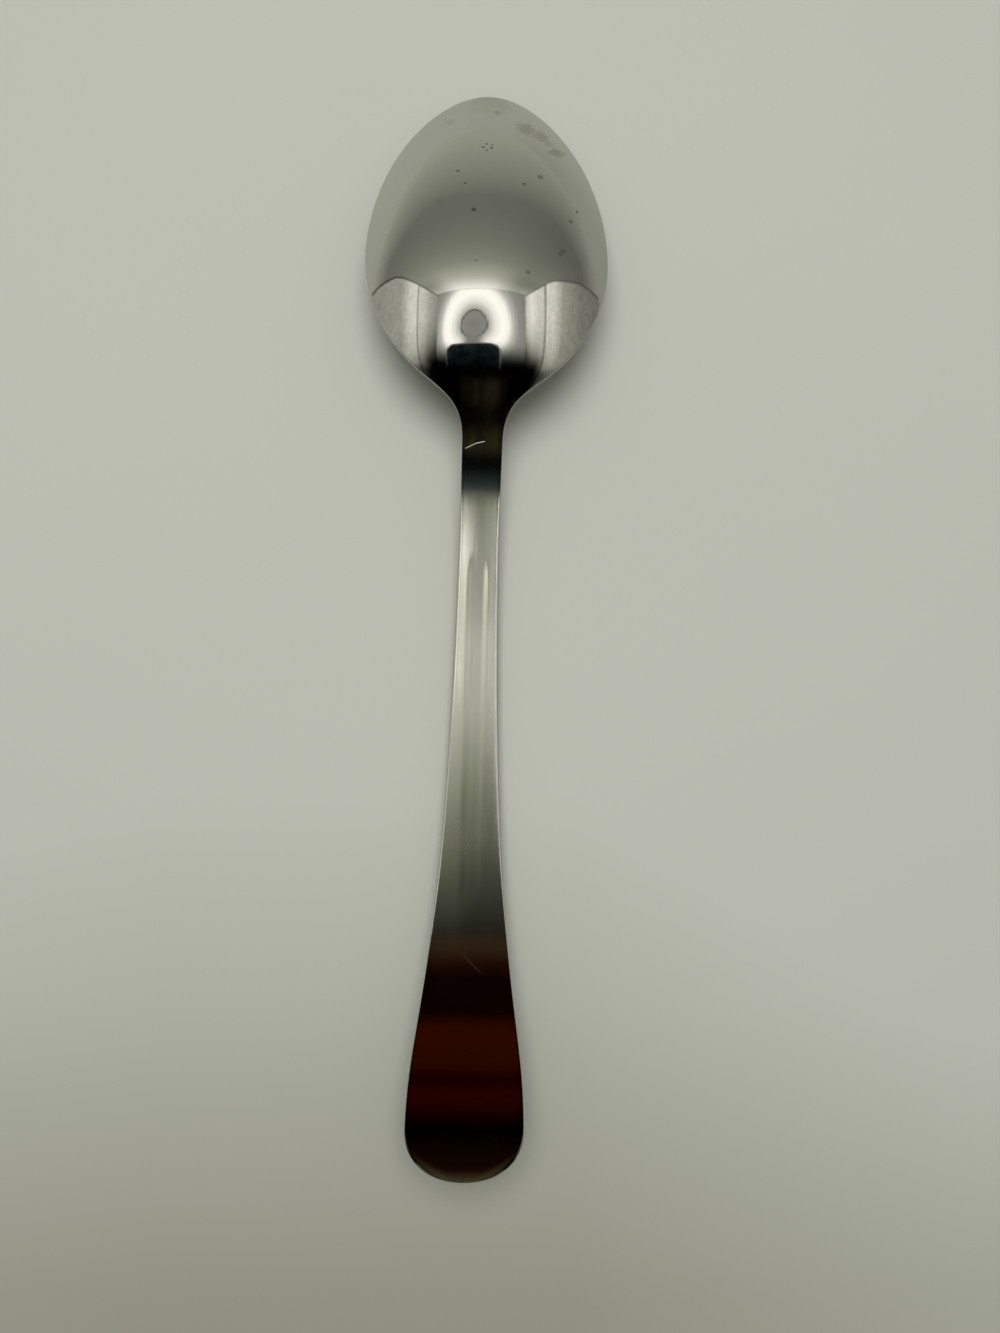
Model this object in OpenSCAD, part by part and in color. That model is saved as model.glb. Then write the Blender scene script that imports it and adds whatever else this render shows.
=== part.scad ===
// Teaspoon pressed from one steel blank, lying face down as it does on a table.
// The bowl's tip points along +Y, the back of the spoon faces +Z, and Z = 0 is the table.
// The blank is one loft. Three modules cut it where its maker names change: bowl, neck and handle.

/* [Overall] */
// Length from the bowl's tip to the handle's end
spoon_l = 152; // [140:1:165]

/* [Bowl] */
// Width of the bowl across its rim
bowl_w = 34.4; // [30:0.2:38]
// Length from the tip to the narrowest place of the neck
bowl_l = 57; // [53:0.5:60]
// Height of the bowl's back above its rim
bowl_h = 7.5; // [6.5:0.1:8.5]
// Thickness of the steel at the middle of the bowl
bowl_t = 1.3; // [1.1:0.1:1.6]
// Width of the flat rim round the hollow
rim_w = 1.2; // [0.9:0.1:1.5]
// Height that the rim's slope gains over the bowl's length
rim_rise = 11.5; // [10.5:0.1:12.5]

/* [Neck] */
// Width of the neck at its narrowest place
neck_w = 5.6; // [4.8:0.1:7]
// Length of the neck, from its narrowest place to the handle
neck_l = 11; // [8:0.5:12]
// Thickness of the neck
neck_t = 2.7; // [2.3:0.1:3.2]
// Height of the neck's underside above the table
neck_lift = 4.5; // [4:0.1:5.2]

/* [Handle] */
// Width of the handle near its end
end_w = 14.8; // [12:0.2:18]
// Thickness of the handle's end
end_t = 1.6; // [1.4:0.1:2]
// Height of the handle's end above the table
end_lift = 8.4; // [6:0.2:10.4]
// Distance from the tip to the place where the handle touches the table
touch_at = 89; // [85:1:94]
// Rounding of the handle's long edges
edge_r = 0.6; // [0.4:0.05:0.7]

/* [Bare panel] */
// Distance from the neck's narrowest place to the sunk panel
panel_gap = 16.5; // [15:0.5:20]
// Width of the sunk panel on the back of the handle, which is left bare
panel_w = 2.2; // [1.8:0.1:2.6]
// Length of the sunk panel
panel_l = 45; // [36:1:50]
// Depth of the sunk panel
panel_d = 0.12; // [0.08:0.01:0.2]

/* [Hidden] */

steel = "#b9bbb6";

// Where the plan's five curves meet, as distances from the tip and half widths
widest_at = 0.523 * bowl_l;
flank_at = 0.8125 * bowl_l;
flank_half = 0.655 * bowl_w / 2;
flank_slope = 1.382 * bowl_w / bowl_l;
end_round = 0.8 * end_w / 2;
end_at = spoon_l - end_round;
stem_l = end_at - bowl_l;

// Where the three pieces are cut from the blank
neck_cut = 0.965 * bowl_l;
handle_cut = bowl_l + neck_l;

// Lengths over which the blank changes its section
dome_l = 0.857 * bowl_l;
dome_lean = 0.55;
section_edge = 0.31;
rim_side = 0.6;
rim_r = 0.3;
edge_land = 0.1;
under_lean = 0.6;
crown = 0.05;
edge_blend = 4.6;
throat_blend = 8;
neck_arch_r = 300;
hollow_end = 0.86 * bowl_l;
panel_at = bowl_l + panel_gap;
panel_end = panel_at + panel_l;
panel_wall = 0.15;

// How finely the loft is drawn
tip_steps = 18;
bowl_steps = 12;
throat_steps = 8;
handle_pitch = 2;
end_steps = 10;
back_columns = 6;
front_columns = 8;
round_steps = 3;
hair = 0.04;

function mix(a, b, k) = a + (b - a) * k;
function ease(k) = let (c = max(0, min(1, k))) c * c * (3 - 2 * c);
function soft_min(a, b, k) = min(a, b) - k / 6 * pow(max(k - abs(a - b), 0) / k, 3);
function soft_max(a, b, k) = -soft_min(-a, -b, k);
function reverse(list) = [for (i = [len(list) - 1:-1:0]) list[i]];
function mirrored(half) = concat(-reverse([for (i = [1:len(half) - 1]) half[i]]), half);

// A cubic curve through two points, with the pull of each end, and its direction
function cubic(c, t) =
    pow(1 - t, 3) * c[0] + 3 * pow(1 - t, 2) * t * c[1] + 3 * (1 - t) * t * t * c[2] + pow(t, 3) * c[3];
function heading(c, t) =
    3 * (pow(1 - t, 2) * (c[1] - c[0]) + 2 * (1 - t) * t * (c[2] - c[1]) + t * t * (c[3] - c[2]));
function t_at(c, from_tip, lo = 0, hi = 1, n = 26) =
    let (mid = (lo + hi) / 2)
    n == 0 ? mid
    : cubic(c, mid)[0] < from_tip ? t_at(c, from_tip, mid, hi, n - 1)
    : t_at(c, from_tip, lo, mid, n - 1);

// The plan outline: each curve holds [distance from the tip, half width]
tip = [0, 0];
widest = [widest_at, bowl_w / 2];
flank = [flank_at, flank_half];
waist = [bowl_l, neck_w / 2];
shoulder = [end_at, end_w / 2];
end = [spoon_l, 0];
flank_pull = [0.074, -0.074 * flank_slope] * bowl_l;

tip_curve = [tip, [0, 0.425 * bowl_w / 2], widest - [0.57 * widest_at, 0], widest];
side_curve = [widest, widest + [0.114 * bowl_l, 0], flank - flank_pull, flank];
throat_curve = [flank, flank + flank_pull, waist - [0.106 * bowl_l, 0], waist];
stem_curve = [waist, waist + [0.85 * stem_l, 0], shoulder - [0.17 * stem_l, 0], shoulder];
end_curve = [shoulder, shoulder + [0.57 * end_round, 0], [spoon_l, 0.67 * end_w / 2], end];

// Thickness of the blank's edge, from the bowl's thin rim over the stout neck to the handle's end
function edge_t(s) =
    s < bowl_l ? mix(rim_side, neck_t, ease((s - 0.55 * bowl_l) / (0.45 * bowl_l)))
    : mix(neck_t, end_t, (s - bowl_l) / (spoon_l - bowl_l));

// Height of the handle's underside, a long arch that rises to the end and turns up into the neck
end_arch_r = pow(spoon_l - touch_at, 2) / (2 * end_lift);
neck_reach = touch_at - bowl_l;
neck_turn = (neck_lift - pow(neck_reach, 2) / (2 * neck_arch_r)) / pow(neck_reach, 3);
function arch(s) =
    let (d = touch_at - s)
    d < 0 ? d * d / (2 * end_arch_r) : d * d / (2 * neck_arch_r) + neck_turn * pow(d, 3);

// Height of the back's two long edges: the rim's slope, then the arch
function edge_z(s) = soft_min(rim_side + s * rim_rise / bowl_l, arch(s) + edge_t(s), edge_blend);

// Height of the back's middle above its edges
dome_top = (sqrt(1 + 3 * dome_lean * dome_lean) - 1) / (3 * dome_lean);
dome_peak = (1 - dome_top * dome_top) * (1 + dome_lean * dome_top);
function dome(u) = (1 - u * u) * (1 + dome_lean * u) / dome_peak;
function camber(s) =
    let (back = bowl_h * dome(min(2 * s / dome_l - 1, 1.3)))
    s < widest_at ? back : soft_max(back, crown, throat_blend);
function across(v) = 1 - (1 - section_edge) * v * v - section_edge * pow(v, 4);

// Depth of the hollow in the bowl's front, which keeps the rim flat
function hollow(s) =
    let (u = 2 * (s - rim_w) / (hollow_end - rim_w) - 1)
    (bowl_h + rim_side - bowl_t) * max(dome(max(-1, min(1, u))), 0);

// Sunk panel on the handle's back, and how much of its width fits a half width
function panel_share(w) = min(1, 0.42 * w / (panel_w / 2 + panel_wall));
function panel(s, x, w) =
    s > panel_at && s < panel_end && abs(x) < panel_share(w) * panel_w / 2 ? panel_d : 0;

// Rounding of the back's edge, and the height of the slant that narrows the underside below it
function edge_round(s) = mix(rim_r, edge_r, ease((s - flank_at) / (bowl_l - flank_at)));
function under_h(s, w) = (edge_t(s) - edge_round(s) - edge_land) * min(1, w / 2);

// Columns of one half of the back and of the front, from the middle to the edge
function back_half(w, r) =
    let (inner = panel_share(w) * (panel_w / 2 - hair), outer = panel_share(w) * (panel_w / 2 + panel_wall))
    concat(
        [0, inner, outer],
        [for (i = [1:back_columns]) mix(outer, w - r, i / back_columns)],
        [for (i = [1:round_steps]) w - r + r * sin(90 * i / round_steps)]);
function front_half(w, inside, slant) =
    concat([for (i = [0:front_columns]) inside * i / front_columns], [w - slant, w]);

// One closed section of the blank, at a place [from tip, half width] with the plan's slope there
function section(place) =
    let (
        s = place[0],
        w = place[1],
        steep = sqrt(1 + pow(place[2], 2)),
        r = edge_round(s),
        r_across = min(r * steep, 0.5 * w),
        inside = max(0.3 * w, w - rim_w * steep),
        under = under_h(s, w),
        slant = min(under_lean * under * steep, 0.7 * (w - inside)),
        top = edge_z(s),
        c = camber(s),
        low = top - edge_t(s),
        deep = hollow(s))
    concat(
        [for (x = mirrored(back_half(w, r_across)))
            let (e = max(r - (w - abs(x)) / steep, 0))
            [x, -s, top + c * across(x / w) - (r - sqrt(max(r * r - e * e, 0))) - panel(s, x, w)]],
        [for (x = reverse(mirrored(front_half(w, inside, slant))))
            let (e = abs(x) > w - hair ? under : 0)
            [x, -s, low + deep * max(across(min(abs(x) / inside, 1)), 0) + e]]);

// Places along the plan, as [distance from the tip, half width, slope]
function place(c, t) = let (p = cubic(c, t), d = heading(c, t)) [p[0], p[1], d[1] / max(d[0], 0.001)];
function along(c, from, to, steps) = [for (i = [0:steps]) place(c, mix(from, to, i / steps))];
function along_stem(stops) = [for (s = stops) place(stem_curve, t_at(stem_curve, s))];

neck_t0 = t_at(throat_curve, neck_cut);
panel_stops = [panel_at - panel_wall, panel_at + hair, panel_end - hair, panel_end + panel_wall];
function even(from, to) =
    let (n = ceil((to - from) / handle_pitch)) [for (i = [0:n]) mix(from, to, i / n)];

bowl_places = concat(
    along(tip_curve, 0.03, 1 - 1 / tip_steps, tip_steps),
    along(side_curve, 0, 1 - 1 / bowl_steps, bowl_steps),
    along(throat_curve, 0, neck_t0, throat_steps));
neck_places = concat(
    along(throat_curve, neck_t0, 0.9, throat_steps),
    along_stem(even(bowl_l, handle_cut)));
handle_places = concat(
    along_stem(even(handle_cut, panel_stops[0])),
    along_stem(even(panel_stops[1], panel_stops[2])),
    along_stem(even(panel_stops[3], end_at - 0.5)),
    along(end_curve, 0, 0.97, end_steps));

// The frame's origin is under the middle of the spoon's length
centre_y = spoon_l / 2;

// A closed skin through the sections at the places
module blank(places) {
    loops = [for (p = places) section(p)];
    n = len(loops[0]);
    last = len(loops) - 1;
    points = [for (loop = loops) for (p = loop) p];
    walls = [
        for (i = [0:last - 1])
            for (j = [0:n - 1])
                let (a = i * n + j, b = i * n + (j + 1) % n)
                    for (face = [[a, b, b + n], [a, b + n, a + n]]) face];
    caps = [
        [for (j = [n - 1:-1:0]) j],
        [for (j = [0:n - 1]) last * n + j]];
    translate([0, centre_y, 0])
        polyhedron(points, concat(walls, caps), convexity = 6);
}

// Dished egg-shaped bowl, from its tip to the throat
module bowl() {
    color(steel) blank(bowl_places);
}

// Stout neck that turns from the bowl into the handle
module neck() {
    color(steel) blank(neck_places);
}

// Flat handle that widens to its rounded end
module handle() {
    color(steel) blank(handle_places);
}

bowl();
neck();
handle();
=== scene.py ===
"""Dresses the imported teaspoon: one pressed blank of polished steel, lying face down on a pale table."""

import logging
import math
from dataclasses import dataclass, field
from enum import Enum
from typing import Any, Callable, Iterable

import bmesh
import bpy
from mathutils import Matrix, Vector


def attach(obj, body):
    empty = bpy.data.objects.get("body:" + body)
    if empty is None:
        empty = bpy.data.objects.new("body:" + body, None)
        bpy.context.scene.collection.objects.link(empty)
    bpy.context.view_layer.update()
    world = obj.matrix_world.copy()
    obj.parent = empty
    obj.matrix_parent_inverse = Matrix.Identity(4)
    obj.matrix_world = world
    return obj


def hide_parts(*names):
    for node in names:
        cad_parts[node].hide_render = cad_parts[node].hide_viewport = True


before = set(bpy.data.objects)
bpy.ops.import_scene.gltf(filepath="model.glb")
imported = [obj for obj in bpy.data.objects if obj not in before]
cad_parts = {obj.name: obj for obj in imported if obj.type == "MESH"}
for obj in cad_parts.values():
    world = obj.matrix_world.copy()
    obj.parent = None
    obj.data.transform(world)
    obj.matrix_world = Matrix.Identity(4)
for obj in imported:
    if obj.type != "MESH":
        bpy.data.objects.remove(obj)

LOG = logging.getLogger("teaspoon")
MM = 0.001
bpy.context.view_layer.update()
Colour = tuple[float, float, float]
Point = tuple[float, float, float]
Reach = tuple[float, float]
Fade = tuple[float, float, float, float]
BLACK: Colour = (0.0, 0.0, 0.0)
ROOM: Colour = (0.53, 0.54, 0.475)
FLAT = 1e-9
CORNER_STEPS = 8


class Side(Enum):
    """The two sides of the blank, as the spoon lies."""

    BACK = "back"
    FRONT = "front"


class Rays(Enum):
    """The kinds of light ray that a stage panel takes part in."""

    SEEN = "seen and lit"
    REFLECTED = "only reflected"


def ease(share: float) -> float:
    """Returns a smooth step from 0 to 1 as the share goes from 0 to 1."""
    part = min(max(share, 0.0), 1.0)
    return part * part * (3 - 2 * part)


def blend(low: float, high: float, share: float) -> float:
    """Returns the value that lies the given share of the way from low to high."""
    return low + (high - low) * share


def soft_min(one: float, other: float, width: float) -> float:
    """Returns the smaller of two values, with the corner between them rounded.

    Args:
        one: the first value.
        other: the second value.
        width: the difference of the two below which the corner is rounded.

    Returns:
        The smaller value, a little less where the two are close.
    """
    near = max(width - abs(one - other), 0.0) / width
    return min(one, other) - width / 6 * near ** 3


class Value:
    """A number inside a shader, which takes part in Python arithmetic."""

    def __init__(self, graph: "Graph", socket: bpy.types.NodeSocket) -> None:
        """Keeps the socket that gives the number, and its graph."""
        self.graph = graph
        self.socket = socket

    def math(self, operation: str, *others: "Value | float") -> "Value":
        """Adds a Math node that starts from this number.

        Args:
            operation: the Math node's operation.
            others: the node's further inputs.

        Returns:
            The node's result.
        """
        return self.graph.value("ShaderNodeMath", {"operation": operation}, dict(enumerate((self, *others))))

    def swapped(self, operation: str, other: float) -> "Value":
        """Returns a Math node's result with a plain number before this one."""
        return self.graph.value("ShaderNodeMath", {"operation": operation}, {0: other, 1: self})

    def __add__(self, other: "Value | float") -> "Value":
        """Returns the sum."""
        return self.math("ADD", other)

    def __radd__(self, other: float) -> "Value":
        """Returns the sum, with a plain number first."""
        return self.math("ADD", other)

    def __sub__(self, other: "Value | float") -> "Value":
        """Returns the difference."""
        return self.math("SUBTRACT", other)

    def __rsub__(self, other: float) -> "Value":
        """Returns a plain number less this one."""
        return self.swapped("SUBTRACT", other)

    def __mul__(self, other: "Value | float") -> "Value":
        """Returns the product."""
        return self.math("MULTIPLY", other)

    def __rmul__(self, other: float) -> "Value":
        """Returns the product, with a plain number first."""
        return self.math("MULTIPLY", other)

    def __truediv__(self, other: "Value | float") -> "Value":
        """Returns the quotient."""
        return self.math("DIVIDE", other)

    def highest(self, other: "Value | float") -> "Value":
        """Returns the larger of two numbers."""
        return self.math("MAXIMUM", other)

    def lowest(self, other: "Value | float") -> "Value":
        """Returns the smaller of two numbers."""
        return self.math("MINIMUM", other)

    def fade(self, start: float, end: float, low: float = 0.0, high: float = 1.0) -> "Value":
        """Goes smoothly from one number to another as this one passes from start to end.

        Args:
            start: the place where the change begins.
            end: the place where it is over.
            low: the result up to start.
            high: the result from end on.

        Returns:
            The result between low and high.
        """
        settings = {"interpolation_type": "SMOOTHSTEP", "clamp": True}
        places = {"Value": self, "From Min": start, "From Max": end, "To Min": low, "To Max": high}
        return self.graph.value("ShaderNodeMapRange", settings, places)


class Graph:
    """The nodes of one material, or of the world."""

    def __init__(self, tree: bpy.types.NodeTree) -> None:
        """Empties the tree and keeps it."""
        self.tree = tree
        tree.nodes.clear()

    def node(self, kind: str, settings: dict[str, Any] | None = None,
             sockets: dict[str | int, Any] | None = None) -> bpy.types.Node:
        """Adds one node.

        Args:
            kind: the node's type.
            settings: its settings, which are set first; stops fill a colour ramp.
            sockets: values or links of its inputs, by name or number.

        Returns:
            The new node.
        """
        node = self.tree.nodes.new(kind)
        for name, setting in (settings or {}).items():
            if name == "stops":
                self.fill(node.color_ramp, setting)
            else:
                setattr(node, name, setting)
        for key, part in (sockets or {}).items():
            if isinstance(part, Value):
                self.tree.links.new(part.socket, node.inputs[key])
            elif isinstance(part, bpy.types.NodeSocket):
                self.tree.links.new(part, node.inputs[key])
            else:
                node.inputs[key].default_value = part
        return node

    @staticmethod
    def fill(ramp: bpy.types.ColorRamp, stops: Iterable[tuple[float, Colour]]) -> None:
        """Gives a colour ramp its stops, as places and colours."""
        for number, (place, colour) in enumerate(stops):
            stop = ramp.elements[number] if number < 2 else ramp.elements.new(place)
            stop.position = place
            stop.color = (*colour, 1.0)

    def value(self, kind: str, settings: dict[str, Any] | None = None,
              sockets: dict[str | int, Any] | None = None, output: int | str = 0) -> Value:
        """Adds one node and wraps one of its outputs.

        Args:
            kind: the node's type.
            settings: its settings.
            sockets: values or links of its inputs.
            output: the output that is wrapped.

        Returns:
            That output, ready for arithmetic.
        """
        return Value(self, self.node(kind, settings, sockets).outputs[output])

    def place(self) -> bpy.types.NodeSocket:
        """Returns the Object coordinates, in metres."""
        return self.node("ShaderNodeTexCoord").outputs["Object"]

    def axis(self, place: bpy.types.NodeSocket, name: str) -> Value:
        """Returns one of the coordinates X, Y and Z of a place."""
        return self.value("ShaderNodeSeparateXYZ", None, {0: place}, name)

    def stretched(self, place: bpy.types.NodeSocket, scale: Point) -> bpy.types.NodeSocket:
        """Returns a place that is scaled along each axis."""
        return self.node("ShaderNodeVectorMath", {"operation": "MULTIPLY"}, {0: place, 1: scale}).outputs[0]

    def noise(self, place: bpy.types.NodeSocket, scale: float, detail: float = 2.0, rough: float = 0.5) -> Value:
        """Returns a soft noise between 0 and 1.

        Args:
            place: the place that it is read at.
            scale: how many grains there are in one unit of the place.
            detail: how many finer layers are added.
            rough: how strong those layers are.

        Returns:
            The noise.
        """
        sockets = {"Vector": place, "Scale": scale, "Detail": detail, "Roughness": rough}
        return self.value("ShaderNodeTexNoise", None, sockets)

    def mixed(self, share: Value, low: Any, high: Any) -> bpy.types.NodeSocket:
        """Returns a colour that goes from low to high as the share goes from 0 to 1."""
        colours = [(*c, 1.0) if isinstance(c, tuple) else c for c in (low, high)]
        sockets = {0: share, 6: colours[0], 7: colours[1]}
        return self.node("ShaderNodeMix", {"data_type": "RGBA"}, sockets).outputs[2]

    def layered(self, share: Value, below: bpy.types.Node, above: bpy.types.Node) -> bpy.types.Node:
        """Returns a shader that goes from the one below to the one above as the share goes from 0 to 1."""
        return self.node("ShaderNodeMixShader", None, {0: share, 1: below.outputs[0], 2: above.outputs[0]})

    def show(self, shader: bpy.types.Node, output: str = "ShaderNodeOutputMaterial") -> None:
        """Makes a shader the result of the graph."""
        self.node(output, None, {"Surface": shader.outputs[0]})

    def near_point(self, place: bpy.types.NodeSocket, point: Point) -> Value:
        """Returns the distance from a point."""
        return self.value("ShaderNodeVectorMath", {"operation": "DISTANCE"}, {0: place, 1: point}, "Value")

    def near_line(self, place: bpy.types.NodeSocket, start: Point, end: Point) -> Value:
        """Measures how far a place is from a straight stretch.

        Args:
            place: the place.
            start: where the stretch begins.
            end: where it ends.

        Returns:
            The distance from the nearest point of the stretch.
        """
        run = Vector(end) - Vector(start)
        away = self.node("ShaderNodeVectorMath", {"operation": "SUBTRACT"}, {0: place, 1: start}).outputs[0]
        along = self.value("ShaderNodeVectorMath", {"operation": "DOT_PRODUCT"},
                           {0: away, 1: tuple(run / run.length_squared)}, "Value")
        share = along.highest(0.0).lowest(1.0)
        foot = self.node("ShaderNodeVectorMath", {"operation": "SCALE"}, {0: tuple(run), "Scale": share}).outputs[0]
        return self.value("ShaderNodeVectorMath", {"operation": "DISTANCE"}, {0: away, 1: foot}, "Value")


def shaded(name: str) -> tuple[bpy.types.Material, Graph]:
    """Returns a new material and its empty graph."""
    made = bpy.data.materials.new(name)
    made.use_nodes = True
    return made, Graph(made.node_tree)


@dataclass(frozen=True)
class Cubic:
    """One curve of the plan outline, through places of distance from the tip and half width."""

    start: tuple[float, float]
    leave: tuple[float, float]
    arrive: tuple[float, float]
    end: tuple[float, float]

    def at(self, t: float) -> tuple[float, float]:
        """Returns the distance from the tip and the half width at t from 0 to 1."""
        parts = ((1 - t) ** 3, 3 * (1 - t) ** 2 * t, 3 * (1 - t) * t * t, t ** 3)
        corners = (self.start, self.leave, self.arrive, self.end)
        return tuple(sum(k * c[i] for k, c in zip(parts, corners)) for i in (0, 1))

    def slope(self, t: float) -> float:
        """Returns how fast the half width changes along the spoon at t."""
        step = 1e-4
        near, far = self.at(max(t - step, 0.0)), self.at(min(t + step, 1.0))
        return (far[1] - near[1]) / max(far[0] - near[0], 1e-9)

    def at_distance(self, from_tip: float) -> float:
        """Returns the t at which the curve is that far from the tip."""
        low, high = 0.0, 1.0
        for _ in range(40):
            middle = (low + high) / 2
            low, high = (middle, high) if self.at(middle)[0] < from_tip else (low, middle)
        return (low + high) / 2


@dataclass(frozen=True)
class Station:
    """One cross section of the spoon: its distance from the tip, half width and the outline's slope."""

    from_tip: float
    half: float
    slope: float

    @property
    def steep(self) -> float:
        """How much longer a distance from the outline is when it is measured straight across."""
        return math.hypot(1.0, self.slope)


@dataclass(frozen=True)
class SpoonPlan:
    """The outline of the spoon seen from above, in millimetres."""

    length: float = 152.0
    bowl_length: float = 57.0
    bowl_width: float = 34.4
    neck_width: float = 5.6
    end_width: float = 14.8
    tip_round: float = 0.425
    tip_reach: float = 0.43
    widest_share: float = 0.523
    side_reach: float = 0.114
    flank_share: float = 0.8125
    flank_half: float = 0.655
    flank_pull: float = 0.074
    flank_steep: float = 1.382
    throat_reach: float = 0.894
    stem_reach: float = 0.85
    stem_flare: float = 0.17
    end_share: float = 0.4
    end_reach: float = 0.57
    end_round: float = 0.67
    tip_rows: int = 28
    side_rows: int = 13
    throat_rows: int = 14
    end_rows: int = 15
    first_row: float = 0.03
    last_row: float = 0.97
    stem_pitch: float = 1.5

    @property
    def end_at(self) -> float:
        """Distance from the tip at which the handle's end begins to round."""
        return self.length - self.end_share * self.end_width

    @property
    def flank_at(self) -> float:
        """Distance from the tip at which the bowl turns in towards the throat."""
        return self.flank_share * self.bowl_length

    @property
    def widest_at(self) -> float:
        """Distance from the tip at which the bowl is widest."""
        return self.widest_share * self.bowl_length

    def curves(self) -> tuple[Cubic, Cubic, Cubic, Cubic, Cubic]:
        """Returns the outline's five curves, from the tip to the handle's end."""
        bowl, half, neck, end = self.bowl_length, self.bowl_width / 2, self.neck_width / 2, self.end_width / 2
        wide, flank, last = self.widest_at, self.flank_at, self.end_at
        stem, turn = last - bowl, self.length - last
        side, pull = self.flank_half * half, self.flank_pull * bowl
        drop = pull * self.flank_steep * self.bowl_width / bowl
        return (
            Cubic((0, 0), (0, self.tip_round * half), (self.tip_reach * wide, half), (wide, half)),
            Cubic((wide, half), (wide + self.side_reach * bowl, half), (flank - pull, side + drop), (flank, side)),
            Cubic((flank, side), (flank + pull, side - drop), (self.throat_reach * bowl, neck), (bowl, neck)),
            Cubic((bowl, neck), (bowl + self.stem_reach * stem, neck),
                  (last - self.stem_flare * stem, end), (last, end)),
            Cubic((last, end), (last + self.end_reach * turn, end),
                  (self.length, self.end_round * end), (self.length, 0)),
        )

    def stations(self, stops: Iterable[float]) -> list[Station]:
        """Places the cross sections along the spoon.

        Args:
            stops: distances from the tip that each get a section on the stem.

        Returns:
            The sections, from the tip to the handle's end.
        """
        tip, side, throat, stem, end = self.curves()
        found = [self.station(tip, blend(self.first_row, 1.0, i / self.tip_rows)) for i in range(self.tip_rows)]
        found += [self.station(side, i / self.side_rows) for i in range(self.side_rows)]
        found += [self.station(throat, i / self.throat_rows) for i in range(self.throat_rows)]
        edges = [self.bowl_length, *stops, self.end_at]
        for low, high in zip(edges, edges[1:]):
            count = max(1, math.ceil((high - low) / self.stem_pitch))
            found += [self.station(stem, stem.at_distance(blend(low, high, i / count))) for i in range(count)]
        found += [self.station(end, blend(0.0, self.last_row, i / self.end_rows)) for i in range(self.end_rows + 1)]
        return found

    @staticmethod
    def station(curve: Cubic, t: float) -> Station:
        """Returns the section at t on a curve."""
        return Station(*curve.at(t), curve.slope(t))

    def inset(self, station: Station, x: float) -> float:
        """Returns how far a place of a section, at x from the middle, is from the outline."""
        return min((station.half - x) / station.steep, station.from_tip, self.length - station.from_tip)


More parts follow.
